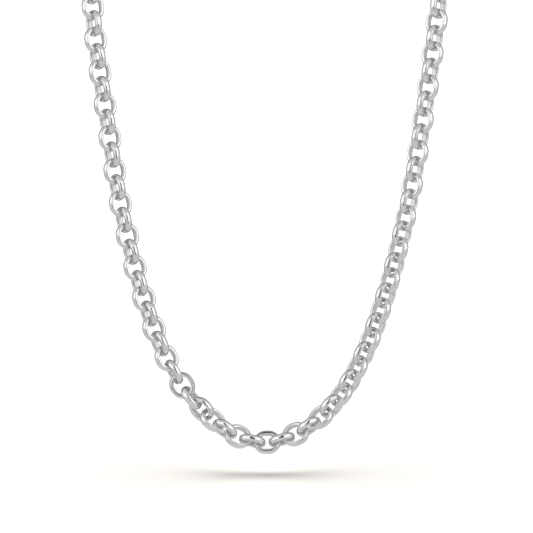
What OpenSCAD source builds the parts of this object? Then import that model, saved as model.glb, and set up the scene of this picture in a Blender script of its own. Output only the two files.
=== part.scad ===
// Rolo chain necklace: one closed loop of oval links in polished silver, worn
// round a neck and closed at the nape by a plain clasp between two round rings.
// Millimetres. +Z is up and the front of the necklace faces -Y.
// The origin is on the skin at the nape, level with the clasp.

/* [Link] */
// Outer width of a link, across the chain
link_w = 6.4; // [6:0.1:6.8]
// Straight stretch on each side of a link, between its two round ends
link_straight = 0.7; // [0.4:0.1:1.2]
// Thickness of the band, from its flat inner face to the top of its dome
band_t = 1.15; // [1:0.05:1.25]
// Width of the band, from one face of the link to the other
band_w = 1.7; // [1.4:0.1:1.8]
// Rise of the dome on the band's outer face
dome_h = 0.4; // [0.3:0.02:0.5]
// Radius of the band's inner edges
edge_r = 0.22; // [0.1:0.02:0.3]
// Clear gap left where two links hang in each other
link_gap = 0.1; // [0.1:0.02:0.3]

/* [Chain] */
// Links on each side of the lowest link, an odd number
side_links = 51; // [45:2:57]

/* [End rings] */
// Outer diameter of the two round rings beside the clasp
ring_d = 5.2; // [5:0.1:6]
// Diameter of the rings' wire
ring_wire = 0.9; // [0.7:0.05:1]
// Clear gap left where a ring hangs in a link or in the clasp
ring_gap = 0.2; // [0.1:0.05:0.4]

/* [Clasp] */
// Distance between the centres of the clasp's two eyes
clasp_l = 12; // [9:0.5:16]
// Diameter of the clasp's barrel
clasp_d = 4.4; // [3.6:0.2:5]
// Rounding of the barrel's ends
clasp_round = 1.4; // [0.6:0.1:1.6]
// Width of the collar round the barrel's middle
collar_w = 1.6; // [0.8:0.2:2.4]
// Height of the collar above the barrel
collar_h = 0.25; // [0.15:0.05:0.4]
// Radius of the hole in each eye
eye_r = 1.3; // [1.2:0.05:1.5]
// Wall round the hole in each eye
eye_wall = 0.9; // [0.7:0.05:1.1]
// Thickness of the eyes
eye_t = 1.4; // [1:0.1:1.6]

/* [Hidden] */
$fn = 64;

// Route of the chain's centre line, in hundredths of the loop's length.
// Columns: x, y behind the plane of the front, z above the lowest link.
front_route = [
    [-9.94, 0.25, 24.9],
    [-9.1, 0, 18.32],
    [-8.18, 0, 12.74],
    [-7.03, 0, 8.25],
    [-5.76, 0, 4.87],
    [-4.35, 0, 2.58],
    [-3.15, 0, 1.33],
    [-1.7, 0, 0.35],
    [0, 0, 0],
    [1.63, 0, 0.46],
    [3.06, 0, 1.44],
    [4.23, 0, 2.73],
    [5.51, 0, 5.03],
    [6.74, 0, 8.38],
    [7.89, 0, 12.82],
    [8.87, 0, 18.39],
    [9.77, 0.25, 24.95]
];
// The same columns for the right half of the stretch round the neck.
neck_route = [
    [10, 0.85, 27.2],
    [9.95, 1.95, 29.3],
    [9.6, 3.5, 31.05],
    [8.95, 5.3, 32.45],
    [7.85, 7.15, 33.45],
    [6.25, 8.8, 34.15],
    [4.35, 10.15, 34.5],
    [2.2, 10.95, 34.65]
];
nape = [0, 11, 34.65];

// How tightly the links are drawn apart.
// Columns: link number from the lowest, share of the full pitch left, right.
draw = [
    [1, 0.9, 0.895],
    [4, 0.92, 0.92],
    [6, 0.92, 0.925],
    [8, 0.95, 0.93],
    [14, 0.967, 0.95],
    [18, 0.99, 0.985],
    [22, 1, 1],
    [31, 1, 1],
    [35, 0.98, 0.98]
];
// How far the chain has turned about its own line.
// Columns: link number from the lowest, degrees on the left, on the right.
turn = [
    [0, 24, 24],
    [1, 18, 17],
    [2, 27, 25],
    [3, 29, 26],
    [4, 40, 40],
    [5, 53, 43],
    [6, 73, 50],
    [7, 91, 46],
    [8, 106, 50],
    [9, 118, 45],
    [16, 117, 47],
    [19, 118, 37],
    [31, 120, 33]
];

hole_r = link_w / 2 - band_t;
dome_r = (band_w * band_w / 4 + dome_h * dome_h) / (2 * dome_h);
// A band that crosses a round hole stops short of its end by this much.
function seat(r, width) = r - sqrt(r * r - width * width / 4);
link_reach = hole_r + link_straight / 2;
pitch_full = 2 * (link_reach - seat(hole_r, band_w)) - link_gap;

ring_r = (ring_d - ring_wire) / 2;
ring_hole_r = ring_d / 2 - ring_wire;
link_to_ring = link_reach + ring_hole_r - seat(ring_hole_r, band_w) - ring_gap;
ring_to_eye = eye_r + ring_hole_r - seat(ring_hole_r, eye_t) - ring_gap;
clasp_half = link_to_ring + ring_to_eye + clasp_l / 2;

function column(table, c) = [for (row = table) [row[0], row[c]]];
function pitch(k, c) = pitch_full * lookup(k, column(draw, c));
function stations(c) = [
    for (k = 0, s = 0; k <= side_links; k = k + 1, s = s + pitch(k, c)) s
];
left_at = stations(1);
right_at = stations(2);
loop_len = left_at[side_links] + right_at[side_links] + 2 * clasp_half;

// The route as one closed curve that starts at the nape and runs down the left.
back = len(neck_route) - 1;
route = concat(
    [nape],
    [for (i = [back : -1 : 0]) [-neck_route[i].x, neck_route[i].y, neck_route[i].z]],
    front_route,
    neck_route
);
points = len(route);
samples = 14;
low = (back + 2 + (len(front_route) - 1) / 2) * samples;
function ring_index(i) = (i + points) % points;
function chord(i) = route[ring_index(i + 1)] - route[ring_index(i)];
function slope(i) = let (a = norm(chord(i - 1)), b = norm(chord(i)))
    (chord(i - 1) * b / a + chord(i) * a / b) / (a + b);
function on_curve(i, q) = let (d = norm(chord(i)))
    (2 * pow(q, 3) - 3 * pow(q, 2) + 1) * route[i]
    + (pow(q, 3) - 2 * pow(q, 2) + q) * d * slope(i)
    + (3 * pow(q, 2) - 2 * pow(q, 3)) * route[ring_index(i + 1)]
    + (pow(q, 3) - pow(q, 2)) * d * slope(ring_index(i + 1));
curve = concat([for (i = [0 : points - 1]) for (j = [0 : samples - 1]) on_curve(i, j / samples)], [nape]);
run = [
    for (i = 0, s = 0; i < len(curve); i = i + 1, s = s + norm(curve[min(i, len(curve) - 1)] - curve[i - 1])) s
];
unit = loop_len / run[len(run) - 1];
// Lift the curve to its real size, with the skin at the nape in the plane y = 0.
table = [
    for (i = [0 : len(curve) - 1])
        concat([run[i] * unit], (curve[i] - nape) * unit + [0, link_w / 2, 0])
];
along_x = column(table, 1);
along_y = column(table, 2);
along_z = column(table, 3);
start = run[low] * unit;

// Point and direction of the centre line at s from the lowest link.
function wrapped(s) = s < 0 ? s + loop_len : s > loop_len ? s - loop_len : s;
function point_at(s) = let (w = wrapped(start + s)) [lookup(w, along_x), lookup(w, along_y), lookup(w, along_z)];
function unit_of(v) = v / norm(v);
function line_at(s) = unit_of(point_at(s + link_reach) - point_at(s - link_reach));
// A cross vector carried along the line without turning about it.
function carried(v, line) = unit_of(v - (v * line) * line);
toward_front = [0, -1, 0];
function carried_list(at, sign) = [
    for (k = 0, v = toward_front; k < len(at); k = k + 1, v = carried(v, line_at(sign * at[min(k, len(at) - 1)]))) v
];
left_cross = carried_list(left_at, -1);
right_cross = carried_list(right_at, 1);

// The last links lie level, so that the clasp lies flat against the neck.
up = [0, 0, 1];
function level(v, line) = let (u = carried(up, line)) atan2(u * cross(v, line), u * v);
last_turn = [
    side_links,
    180 + level(left_cross[side_links], line_at(-left_at[side_links])),
    level(right_cross[side_links], line_at(right_at[side_links]))
];
// Every second link stands a quarter turn from its neighbours.
function link_turn(k, c) = lookup(k, column(concat(turn, [last_turn]), c)) - (k % 2 == 0 ? 0 : 90);

silver = [0.8, 0.8, 0.82];

module placed(s, cross_v, degrees) {
    line = line_at(s);
    p = point_at(s);
    v = carried(cross_v, line);
    n = cos(degrees) * v + sin(degrees) * cross(v, line);
    side = cross(n, line);
    multmatrix([
        [line.x, side.x, n.x, p.x],
        [line.y, side.y, n.y, p.y],
        [line.z, side.z, n.z, p.z],
        [0, 0, 0, 1]
    ])
        children();
}

// The band's section: x from the flat inner face outward, y across the band.
module band_section() {
    half = band_w / 2 - edge_r;
    intersection() {
        translate([band_t - dome_r, 0])
            circle(r = dome_r);
        union() {
            translate([edge_r, -band_w / 2])
                square([band_t, band_w]);
            translate([0, -half])
                square([band_t, 2 * half]);
            for (y = [-half, half])
                translate([edge_r, y])
                    circle(r = edge_r, $fn = 32);
        }
    }
}

module oval_link() {
    for (end = [0, 180])
        rotate([0, 0, end]) {
            translate([link_straight / 2, 0, 0])
                rotate([0, 0, -90])
                    rotate_extrude(angle = 180)
                        translate([hole_r, 0])
                            band_section();
            rotate([90, 0, 90])
                linear_extrude(height = link_straight, center = true)
                    translate([hole_r, 0])
                        band_section();
        }
}

module chain_left() {
    color(silver)
        for (k = [1 : side_links])
            placed(-left_at[k], left_cross[k], link_turn(k, 1))
                oval_link();
}

module chain_right() {
    color(silver)
        for (k = [0 : side_links])
            placed(right_at[k], right_cross[k], link_turn(k, 2))
                oval_link();
}

module round_ring() {
    rotate_extrude()
        translate([ring_r, 0])
            circle(d = ring_wire, $fn = 32);
}

// The rings stand a quarter turn from the last links and from the clasp.
module clasp_ring() {
    color(silver)
        placed(-left_at[side_links] - link_to_ring, up, 0)
            round_ring();
}

module end_ring() {
    color(silver)
        placed(right_at[side_links] + link_to_ring, up, 0)
            round_ring();
}

// Half of the barrel's outline: x out from its axis, y along it.
module barrel_outline(length) {
    side = clasp_d / 2 - clasp_round;
    straight = length - 2 * clasp_round;
    intersection() {
        translate([0, -length / 2])
            square([clasp_d, length]);
        union() {
            translate([0, -length / 2])
                square([side, length]);
            translate([0, -straight / 2])
                square([clasp_d / 2, straight]);
            for (y = [-straight / 2, straight / 2])
                translate([side, y])
                    circle(r = clasp_round);
            translate([0, -collar_w / 2])
                square([clasp_d / 2 + collar_h, collar_w]);
        }
    }
}

module clasp() {
    barrel_l = clasp_l - 2 * (eye_r + ring_gap);
    color(silver)
        placed(right_at[side_links] + clasp_half, up, 90)
            difference() {
                union() {
                    rotate([0, 90, 0])
                        rotate_extrude()
                            barrel_outline(barrel_l);
                    for (x = [-1, 1])
                        translate([x * clasp_l / 2, 0, -eye_t / 2])
                            cylinder(h = eye_t, r = eye_r + eye_wall);
                }
                for (x = [-1, 1])
                    translate([x * clasp_l / 2, 0, -clasp_d])
                        cylinder(h = 2 * clasp_d, r = eye_r);
            }
}

chain_left();
chain_right();
clasp_ring();
clasp();
end_ring();
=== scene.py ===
"""A rolo chain necklace in polished silver, hanging as a long U above pale paper.

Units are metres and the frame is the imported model's: +Z is up, the front faces -Y
and the origin is on the skin at the nape. The chain's links are made afresh with a
finer section, each where the model has a link. The clasp and its two rings are the
model's own solids. The studio is a grey surround with soft cards of light, a dark
card for the camera that the silver mirrors, and paper that rises to the back.
"""

import math

import bpy
import numpy as np
from mathutils import Matrix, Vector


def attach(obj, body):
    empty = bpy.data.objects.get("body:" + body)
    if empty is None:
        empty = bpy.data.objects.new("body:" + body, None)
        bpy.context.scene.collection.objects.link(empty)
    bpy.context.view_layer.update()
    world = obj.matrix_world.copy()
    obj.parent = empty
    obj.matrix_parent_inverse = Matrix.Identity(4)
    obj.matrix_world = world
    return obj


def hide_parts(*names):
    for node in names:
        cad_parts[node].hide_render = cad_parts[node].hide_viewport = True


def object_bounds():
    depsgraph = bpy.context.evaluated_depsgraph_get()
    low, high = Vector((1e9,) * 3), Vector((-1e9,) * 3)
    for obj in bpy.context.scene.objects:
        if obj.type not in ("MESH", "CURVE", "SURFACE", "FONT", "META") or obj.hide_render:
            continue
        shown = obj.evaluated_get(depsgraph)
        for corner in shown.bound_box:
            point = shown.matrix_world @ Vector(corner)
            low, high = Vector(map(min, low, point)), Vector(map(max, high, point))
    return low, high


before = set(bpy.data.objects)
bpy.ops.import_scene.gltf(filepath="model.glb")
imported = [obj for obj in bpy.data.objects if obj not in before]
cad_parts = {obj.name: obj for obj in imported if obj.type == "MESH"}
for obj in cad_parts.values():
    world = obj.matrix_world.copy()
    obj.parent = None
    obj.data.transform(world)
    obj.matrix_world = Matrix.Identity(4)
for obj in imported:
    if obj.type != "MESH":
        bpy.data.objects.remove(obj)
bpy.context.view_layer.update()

STRANDS = {"links_left": "chain_left", "links_right": "chain_right"}
CLASP_NODES = ("clasp_ring", "clasp", "end_ring")
# Corners of the model that agree to this many decimals of a metre are one corner.
CORNER_DECIMALS = 7

# One link in metres. Its edge softness is a number: 1 gives its band a round
# section and 0 a sharp one.
LINK_SIZES = {
    "Link width": 0.00638,
    "Straight side": 0.0007,
    "Band thickness": 0.00115,
    "Band width": 0.00186,
    "Dome height": 0.00040,
    "Edge softness": 0.46,
}
# How finely a link is drawn, and the seed of the links' tones.
LINK_COUNTS = {"Rim steps": 54, "Section steps": 32, "Seed": 7}

# The silver's colours.
POLISHED = (0.945, 0.945, 0.955, 1)
TARNISHED = (0.83, 0.825, 0.835, 1)
# Dull patina inside the rim, darkened there as painted shade; the dark one also colours the
# seam.
DULL_AND_SHADED_DARK = (0.78, 0.775, 0.79, 1)
DULL_AND_SHADED_LIGHT = (0.94, 0.935, 0.945, 1)
# A painted dark reflection: a thin dark stripe along the dome's edges.
PAINTED_DARK_REFLECTION = (0.12, 0.12, 0.13, 1)

# How strongly each mark colours the silver. Tone is the difference between links.
CHAIN_WEAR = 0.5
CLASP_WEAR = 0.8
TONE = 0.25
# How strongly the painted dark reflection darkens the dome's edges.
PAINTED_REFLECTION_STRENGTH = 0.35
SEAM_STRENGTH = 0.15

# Noise on the silver, each with its scale, detail and roughness.
CLOUDS = (420.0, 3.0, 0.5)
MOTTLE = (2300.0, 3.0, 0.6)
RUBBING = (9000.0, 4.0, 0.7)

# Where each mark starts and ends. Tarnish follows the clouds and spots the mottle.
# The hollow, a dull patina with painted shade, and the painted dark reflection along
# the dome's edges follow the outward measure, which is -1 inside the rim and 1 on its
# dome. The seam is measured as a share of the way round the rim.
TARNISH_RANGE = (0.42, 0.66)
SPOT_RANGE = (0.38, 0.62)
HOLLOW_RANGE = (-0.80, -0.97)
# Where the painted dark reflection starts and ends on the outward measure.
PAINTED_REFLECTION_STARTS = (0.42, 0.54)
PAINTED_REFLECTION_ENDS = (0.88, 0.78)
SEAM_AT = 0.25
SEAM_RANGE = (0.0010, 0.0004)

# The bare polish's roughness, and what each mark adds to it.
ROUGHNESS = {
    "polish": 0.03,
    "tarnish": 0.03,
    "rubbing": 0.02,
    "hollow": 0.26,
    "spots": 0.10,
    "seam": 0.15,
}
# Relief: the strength and depth of each layer, and how deep the pits and the seam go.
CLOUD_DENTS = (0.12, 0.00003)
PIT_DENTS = (0.35, 0.00002)
RUBBING_MARKS = (0.10, 0.000003)
OPEN_PITS = 0.05
HOLLOW_PITS = 0.95
SEAM_GROOVE = 0.6

# Matt finishes of the studio: the two colours that each lies between, and the scale
# of its unevenness.
PAPER = ((0.97, 0.965, 0.96, 1), (0.98, 0.978, 0.975, 1), 3.0)
CAMERA_BLACK = ((0.010, 0.010, 0.011, 1), (0.016, 0.016, 0.017, 1), 60.0)
MATT_ROUGHNESS = 0.9

# The photograph's frame: its side in pixels, metres a pixel, and the pixel where the
# lowest link's middle lies.
PHOTO_SIDE = 533
PIXEL = 0.000261
LOW_LINK_AT = (267.15, 441.6)
SENSOR = 36.0
CAMERA_DISTANCE = 1.2
NEAREST, FARTHEST = 0.01, 50.0

# The paper: how far it lies below the lowest link, its slope in degrees, and how far
# it reaches to the sides and front, and to the back.
FLOOR_DROP = 0.0057
FLOOR_SLOPE = 9.0
FLOOR_HALF = 6.0
FLOOR_BACK = 0.30

# Each card's bearings left and right, its heights bottom and top, the softness of
# its edges, all in degrees, and its brightness.
STUDIO_CARDS = {
    "left_window": (-90, -17, -3, 40, 7, 1.08),
    "right_window": (14, 78, -3, 46, 7, 1.12),
    "gap_above": (-12, 8, 10, 38, 4, 0.42),
    "right_stand": (14, 27, -20, -8, 4, 0.30),
    "left_stand": (-46, -28, -18, -7, 4, 0.34),
    "back_left": (-200, -116, -28, 90, 8, 0.34),
    "back_right": (116, 200, -28, 90, 8, 0.34),
    "behind_left": (-200, -150, -28, 60, 8, 0.16),
    "behind_right": (150, 200, -28, 60, 8, 0.16),
}
# Brightness of the surround between the cards, and of the white that the camera sees.
SURROUND = 0.60
SEEN_WHITE = 1.3

# Light on the paper from straight above: strength, and spread in degrees. The fill
# throws no shadow.
FLOOR_TOP = (3.56, 66.0)
FLOOR_FILL = (0.15, 90.0)
WARM = (1.0, 0.975, 0.93)

# The dark camera that the silver mirrors: how far in front of the links it stands,
# its half width, and its foot and top above the middle of the picture.
MIRRORED_CAMERA = {"ahead": 0.108, "half width": 0.018, "foot": -0.042, "top": 0.078}


class Output:
    """A node's output that can stand in a Python expression."""

    def __init__(self, tree, socket):
        self.tree = tree
        self.socket = socket

    def maths(self, operation, *others):
        values = dict(enumerate((self, *others)))
        return self.tree.node("ShaderNodeMath", {"operation": operation}, values)

    def __add__(self, other):
        return self.maths("ADD", other)

    def __mul__(self, other):
        return self.maths("MULTIPLY", other)

    def __sub__(self, other):
        return self.maths("SUBTRACT", other)

    def __rsub__(self, other):
        return self * -1 + other

    def __pow__(self, other):
        return self.maths("POWER", other)

    __radd__ = __add__
    __rmul__ = __mul__


class Tree:
    """A node tree with one way of adding a node, setting it and linking it."""

    def __init__(self, tree):
        self.tree = tree

    def node(self, kind, settings=None, values=None, out=0):
        made = self.tree.nodes.new(kind)
        for name, value in (settings or {}).items():
            setattr(made, name, value)
        for key, value in (values or {}).items():
            if isinstance(value, Output):
                self.tree.links.new(value.socket, made.inputs[key])
            else:
                made.inputs[key].default_value = value
        return Output(self, made.outputs[out]) if len(made.outputs) else made

    def also(self, output, name):
        """Another output of the node that output comes from."""
        return Output(self, output.socket.node.outputs[name])

    def place(self):
        """The place on the piece, in metres."""
        return self.also(self.node("ShaderNodeTexCoord"), "Object")

    def attribute(self, name):
        return self.also(self.node("ShaderNodeAttribute", {"attribute_name": name}), "Fac")

    def step(self, value, start, end):
        """0 before start, 1 after end and a soft step between them."""
        values = {"Value": value, "From Min": start, "From Max": end}
        return self.node("ShaderNodeMapRange", {"interpolation_type": "SMOOTHSTEP"}, values)

    def between(self, value, start, end, soft):
        """1 between start and end, 0 outside them and a soft step at each."""
        rising = self.step(value, start - soft, start + soft)
        return rising * self.step(value, end + soft, end - soft)

    def noise(self, place, scale, detail, roughness):
        values = {"Vector": place, "Scale": scale, "Detail": detail, "Roughness": roughness}
        return self.node("ShaderNodeTexNoise", {}, values)

    def mixed(self, factor, first, second):
        """A colour between two colours."""
        values = {"Factor": factor, 6: first, 7: second}
        return self.node("ShaderNodeMix", {"data_type": "RGBA"}, values, out=2)

    def bump(self, height, strength, distance, under=None):
        values = {"Strength": strength, "Distance": distance, "Height": height}
        if under:
            values["Normal"] = under
        return self.node("ShaderNodeBump", {}, values)


def loose_solids(mesh):
    """The loose solids of a mesh, each as the corner places of its triangles."""
    places = np.empty(len(mesh.vertices) * 3)
    mesh.vertices.foreach_get("co", places)
    places = np.round(places.reshape(-1, 3), CORNER_DECIMALS)
    spots, same = np.unique(places, axis=0, return_inverse=True)
    mesh.calc_loop_triangles()
    triangles = np.empty(len(mesh.loop_triangles) * 3, dtype=np.int64)
    mesh.loop_triangles.foreach_get("vertices", triangles)
    triangles = same.reshape(-1)[triangles].reshape(-1, 3)
    label = np.arange(len(spots))
    while True:
        spread = label.copy()
        lowest = label[triangles].min(axis=1)
        for corner in range(3):
            np.minimum.at(spread, triangles[:, corner], lowest)
        spread = spread[spread]
        if (spread == label).all():
            break
        label = spread
    owner = label[triangles[:, 0]]
    return [spots[triangles[owner == which]] for which in np.unique(owner)]


def centre_and_axes(corners):
    """Middle of a solid's skin and its axes, from the longest to the thinnest."""
    a, b, c = corners[:, 0], corners[:, 1], corners[:, 2]
    area = np.linalg.norm(np.cross(b - a, c - a), axis=1)[:, None]
    middle = ((a + b + c) / 3 * area).sum(0) / area.sum()
    spread = np.zeros((3, 3))
    for edge in (a + b, b + c, c + a):
        arm = edge / 2 - middle
        spread += (arm * area).T @ arm
    axes = np.linalg.eigh(spread)[1][:, ::-1].T
    axes[2] = np.cross(axes[0], axes[1])
    return middle, axes


def link_places(node):
    """A mesh with a point for each link of a chain node and the link's turn.

    The points run from the lowest link up, so each link always gets the same tone.
    """
    solids = loose_solids(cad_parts[node].data)
    found = [centre_and_axes(corners) for corners in solids]
    found.sort(key=lambda place: tuple(place[0][::-1]))
    mesh = bpy.data.meshes.new(f"{node}_places")
    mesh.from_pydata([tuple(middle) for middle, _ in found], [], [])
    turns = [Matrix(axes.tolist()).transposed().to_euler() for _, axes in found]
    spin = mesh.attributes.new("turn", "FLOAT_VECTOR", "POINT")
    spin.data.foreach_set("vector", np.array([tuple(turn) for turn in turns]).ravel())
    return mesh


def link_tree():
    """Sweeps one link and sets a copy of it on every point of the given mesh."""
    tree = bpy.data.node_groups.new("rolo_links", "GeometryNodeTree")
    inputs = {"Places": "NodeSocketGeometry"}
    inputs.update(dict.fromkeys(LINK_SIZES, "NodeSocketFloat"))
    inputs.update(dict.fromkeys(LINK_COUNTS, "NodeSocketInt"))
    inputs["Silver"] = "NodeSocketMaterial"
    sides = {"INPUT": inputs, "OUTPUT": {"Links": "NodeSocketGeometry"}}
    for side, sockets in sides.items():
        for name, kind in sockets.items():
            tree.interface.new_socket(name=name, in_out=side, socket_type=kind)
    t = Tree(tree)
    given = t.node("NodeGroupInput")
    of = {name: t.also(given, name) for name in inputs}

    def stored(geometry, name, value):
        return t.node(
            "GeometryNodeStoreNamedAttribute",
            {"data_type": "FLOAT", "domain": "POINT"},
            {"Geometry": geometry, "Name": name, "Value": value},
        )

    def moved(geometry, x, y):
        place = t.node("ShaderNodeCombineXYZ", {}, {"X": x, "Y": y})
        values = {"Geometry": geometry, "Position": place}
        return t.node("GeometryNodeSetPosition", {}, values)

    def circle(steps):
        values = {"Resolution": steps, "Radius": 1.0}
        made = t.node("GeometryNodeCurvePrimitiveCircle", {"mode": "RADIUS"}, values)
        place = t.node("GeometryNodeInputPosition")
        x = t.node("ShaderNodeSeparateXYZ", {}, {"Vector": place})
        return made, x, t.also(x, "Y")

    # The rim: a circle parted in the middle by the straight sides.
    ring, x, y = circle(of["Rim steps"])
    radius = (of["Link width"] - of["Band thickness"]) * 0.5
    rim = stored(ring, "round_rim", t.node("GeometryNodeSplineParameter"))
    parted = x * radius + x.maths("SIGN") * of["Straight side"] * 0.5
    rim = moved(rim, parted, y * radius)

    # The band's section: a soft-edged rectangle, domed on its outer side.
    ring, x, y = circle(of["Section steps"])
    across = y.maths("SIGN") * y.maths("ABSOLUTE") ** of["Edge softness"]
    outward = x.maths("SIGN") * x.maths("ABSOLUTE") ** of["Edge softness"]
    fall = x.maths("GREATER_THAN", 0.0) * of["Dome height"] * across * across
    reach = of["Band thickness"] * 0.5 - fall
    band = stored(ring, "outward", outward)
    band = moved(band, outward * reach, across * of["Band width"] * 0.5)

    # The link swept from both, and a copy of it with its own tone at each place.
    values = {"Curve": rim, "Profile Curve": band}
    link = t.node("GeometryNodeCurveToMesh", {}, values)
    smooth = t.node("GeometryNodeSetShadeSmooth", {}, {"Geometry": link})
    settings = {"data_type": "FLOAT"}
    tone = t.node("FunctionNodeRandomValue", settings, {"Seed": of["Seed"]}, out=1)
    places = stored(of["Places"], "link_tone", tone)
    settings = {"data_type": "FLOAT_VECTOR"}
    spin = t.node("GeometryNodeInputNamedAttribute", settings, {"Name": "turn"})
    turn = t.node("FunctionNodeEulerToRotation", {}, {"Euler": spin})
    values = {"Points": places, "Instance": smooth, "Rotation": turn}
    copies = t.node("GeometryNodeInstanceOnPoints", {}, values)
    real = t.node("GeometryNodeRealizeInstances", {}, {"Geometry": copies})
    values = {"Geometry": real, "Material": of["Silver"]}
    ready = t.node("GeometryNodeSetMaterial", {}, values)
    t.node("NodeGroupOutput", {}, {"Links": ready})
    return tree


def make_strand(name, node, tree, silver):
    """One strand of links, made on the places of a chain node's own links."""
    places = bpy.data.objects.new(f"{name}_places", link_places(node))
    bpy.context.scene.collection.objects.link(places)
    modifier = places.modifiers.new("links", "NODES")
    modifier.node_group = tree
    values = LINK_SIZES | LINK_COUNTS | {"Silver": silver}
    for socket in tree.interface.items_tree:
        if socket.name in values:
            modifier[socket.identifier] = values[socket.name]
    graph = bpy.context.evaluated_depsgraph_get()
    mesh = bpy.data.meshes.new_from_object(places.evaluated_get(graph))
    places.modifiers.remove(modifier)
    bpy.data.objects.remove(places)
    mesh.name = name
    strand = bpy.data.objects.new(name, mesh)
    bpy.context.scene.collection.objects.link(strand)
    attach(strand, "root")
    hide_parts(node)


def empty_finish(name):
    """A new material without nodes, and its tree."""
    material = bpy.data.materials.new(name)
    material.use_nodes = True
    material.node_tree.nodes.clear()
    return material, Tree(material.node_tree)


def silver_finish(name, wear, on_links):
    """Polished silver with rubbing marks; links are duller inside, with painted shade there
    too, and have a painted dark reflection along the dome's edges and a seam.
    """
    material, t = empty_finish(name)
    place = t.place()
    clouds = t.noise(place, *CLOUDS)
    rubbing = t.noise(place, *RUBBING)
    tarnish = t.step(clouds, *TARNISH_RANGE) * wear
    if on_links:
        tarnish = tarnish + (t.attribute("link_tone") - 0.5) * TONE
    colour = t.mixed(tarnish, POLISHED, TARNISHED)
    rough = ROUGHNESS["polish"] + tarnish * ROUGHNESS["tarnish"]
    rough = rough + rubbing * ROUGHNESS["rubbing"]
    dents = t.bump(clouds, *CLOUD_DENTS)
    if on_links:
        mottle = t.noise(place, *MOTTLE)
        spots = t.step(mottle, *SPOT_RANGE)
        outward = t.attribute("outward")
        hollow = t.step(outward, *HOLLOW_RANGE)
        # A painted dark reflection: a thin dark stripe along the dome's edges.
        painted_reflection = t.step(outward, *PAINTED_REFLECTION_STARTS) * t.step(outward, *PAINTED_REFLECTION_ENDS)
        from_seam = (t.attribute("round_rim") - SEAM_AT).maths("ABSOLUTE")
        seam = t.step(from_seam, *SEAM_RANGE)
        # Inside the rim: a dull mottled patina, with painted shade in its darkness.
        colour = t.mixed(hollow, colour, t.mixed(spots, DULL_AND_SHADED_DARK, DULL_AND_SHADED_LIGHT))
        colour = t.mixed(painted_reflection * PAINTED_REFLECTION_STRENGTH, colour, PAINTED_DARK_REFLECTION)
        colour = t.mixed(seam * SEAM_STRENGTH, colour, DULL_AND_SHADED_DARK)
        rough = rough + hollow * (ROUGHNESS["hollow"] + spots * ROUGHNESS["spots"])
        rough = rough + seam * ROUGHNESS["seam"]
        pits = mottle * (OPEN_PITS + hollow * HOLLOW_PITS) - seam * SEAM_GROOVE
        dents = t.bump(pits, *PIT_DENTS, dents)
    marks = t.bump(rubbing, *RUBBING_MARKS, dents)
    values = {"Base Color": colour, "Metallic": 1.0, "Roughness": rough, "Normal": marks}
    shader = t.node("ShaderNodeBsdfPrincipled", {}, values)
    t.node("ShaderNodeOutputMaterial", {}, {"Surface": shader})
    return material


def matt_finish(name, first, second, scale):
    """A matt finish of the studio, very faintly uneven between two colours."""
    material, t = empty_finish(name)
    colour = t.mixed(t.noise(t.place(), scale, 2.0, 0.5), first, second)
    values = {"Base Color": colour, "Roughness": MATT_ROUGHNESS, "Specular IOR Level": 0.0}
    shader = t.node("ShaderNodeBsdfPrincipled", {}, values)
    t.node("ShaderNodeOutputMaterial", {}, {"Surface": shader})
    return material


def studio_sheet(name, corners, finish):
    """A flat sheet of the studio with four corners, not part of the necklace."""
    mesh = bpy.data.meshes.new(name)
    mesh.from_pydata(corners, [], [(0, 1, 2, 3)])
    mesh.materials.append(finish)
    sheet = bpy.data.objects.new(name, mesh)
    bpy.context.scene.collection.objects.link(sheet)
    return sheet


def surround(cards):
    """A grey surround with soft cards, placed by their bearing and height in degrees.

    Bearing 0 is the camera's side and 90 the right. Where the camera sees past the
    necklace the surround is plain white.
    """
    world = bpy.data.worlds.new("studio")
    world.use_nodes = True
    world.node_tree.nodes.clear()
    t = Tree(world.node_tree)
    way = t.also(t.node("ShaderNodeTexCoord"), "Generated")
    x = t.node("ShaderNodeSeparateXYZ", {}, {"Vector": way})
    y, z = t.also(x, "Y"), t.also(x, "Z")
    bearing = x.maths("ARCTAN2", y * -1) * math.degrees(1.0)
    height = z.maths("ARCSINE") * math.degrees(1.0)
    level = SURROUND
    for left, right, bottom, top, soft, brightness in cards.values():
        mask = t.between(bearing, left, right, soft) * t.between(height, bottom, top, soft)
        level = mask * brightness + (1 - mask) * level
    seen = t.node("ShaderNodeLightPath")
    lit, white = (
        t.node("ShaderNodeBackground", {}, {"Color": (1, 1, 1, 1), "Strength": strength})
        for strength in (level, SEEN_WHITE)
    )
    both = t.node("ShaderNodeMixShader", {}, {0: seen, 1: lit, 2: white})
    t.node("ShaderNodeOutputWorld", {}, {"Surface": both})
    world.cycles_visibility.diffuse = False
    bpy.context.scene.world = world


def floor_light(name, strength, spread):
    """Soft light on the paper, which gives the shadow; the silver doesn't show it."""
    light = bpy.data.lights.new(name, "SUN")
    light.energy = strength
    light.angle = math.radians(spread)
    light.color = WARM
    lamp = bpy.data.objects.new(name, light)
    lamp.visible_glossy = False
    bpy.context.scene.collection.objects.link(lamp)
    return light


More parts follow.
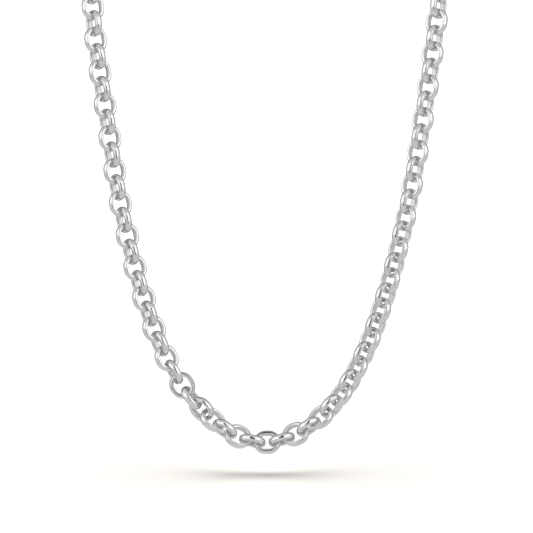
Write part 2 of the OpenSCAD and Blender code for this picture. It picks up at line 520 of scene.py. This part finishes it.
silver = silver_finish("polished_silver", CHAIN_WEAR, on_links=True)
clasp_silver = silver_finish("clasp_silver", CLASP_WEAR, on_links=False)
rolo_links = link_tree()
for strand_name, chain_node in STRANDS.items():
    make_strand(strand_name, chain_node, rolo_links, silver)
for clasp_node in CLASP_NODES:
    for material_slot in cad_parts[clasp_node].material_slots:
        material_slot.material = clasp_silver

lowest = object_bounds()[0]
middle_y = lowest.y + LINK_SIZES["Link width"] / 2
middle_z = lowest.z + LINK_SIZES["Link width"] / 2

floor_corners = [
    (x, middle_y + y, lowest.z - FLOOR_DROP + y * math.tan(math.radians(FLOOR_SLOPE)))
    for x, y in (
        (-FLOOR_HALF, -FLOOR_HALF),
        (FLOOR_HALF, -FLOOR_HALF),
        (FLOOR_HALF, FLOOR_BACK),
        (-FLOOR_HALF, FLOOR_BACK),
    )
]
floor = studio_sheet("floor", floor_corners, matt_finish("white_floor", *PAPER))
floor.visible_glossy = False

surround(STUDIO_CARDS)
floor_light("floor_top", *FLOOR_TOP)
floor_light("floor_fill", *FLOOR_FILL).use_shadow = False

camera_data = bpy.data.cameras.new("camera")
camera_data.sensor_width = SENSOR
camera_data.lens = SENSOR * CAMERA_DISTANCE / (PHOTO_SIDE * PIXEL)
camera_data.clip_start, camera_data.clip_end = NEAREST, FARTHEST
camera = bpy.data.objects.new("camera", camera_data)
camera.location = (
    (PHOTO_SIDE / 2 - LOW_LINK_AT[0]) * PIXEL,
    middle_y - CAMERA_DISTANCE,
    middle_z + (LOW_LINK_AT[1] - PHOTO_SIDE / 2) * PIXEL,
)
camera.rotation_euler = (math.pi / 2, 0.0, 0.0)
bpy.context.scene.collection.objects.link(camera)
bpy.context.scene.camera = camera
bpy.context.scene.view_settings.view_transform = "Standard"

card_y = middle_y - MIRRORED_CAMERA["ahead"]
card_corners = [
    (
        camera.location.x + side * MIRRORED_CAMERA["half width"],
        card_y,
        camera.location.z + MIRRORED_CAMERA[end],
    )
    for side, end in ((-1, "foot"), (1, "foot"), (1, "top"), (-1, "top"))
]
camera_black = matt_finish("camera_black", *CAMERA_BLACK)
dark_card = studio_sheet("mirrored_camera", card_corners, camera_black)
dark_card.visible_camera = False
dark_card.visible_shadow = False
dark_card.visible_diffuse = False
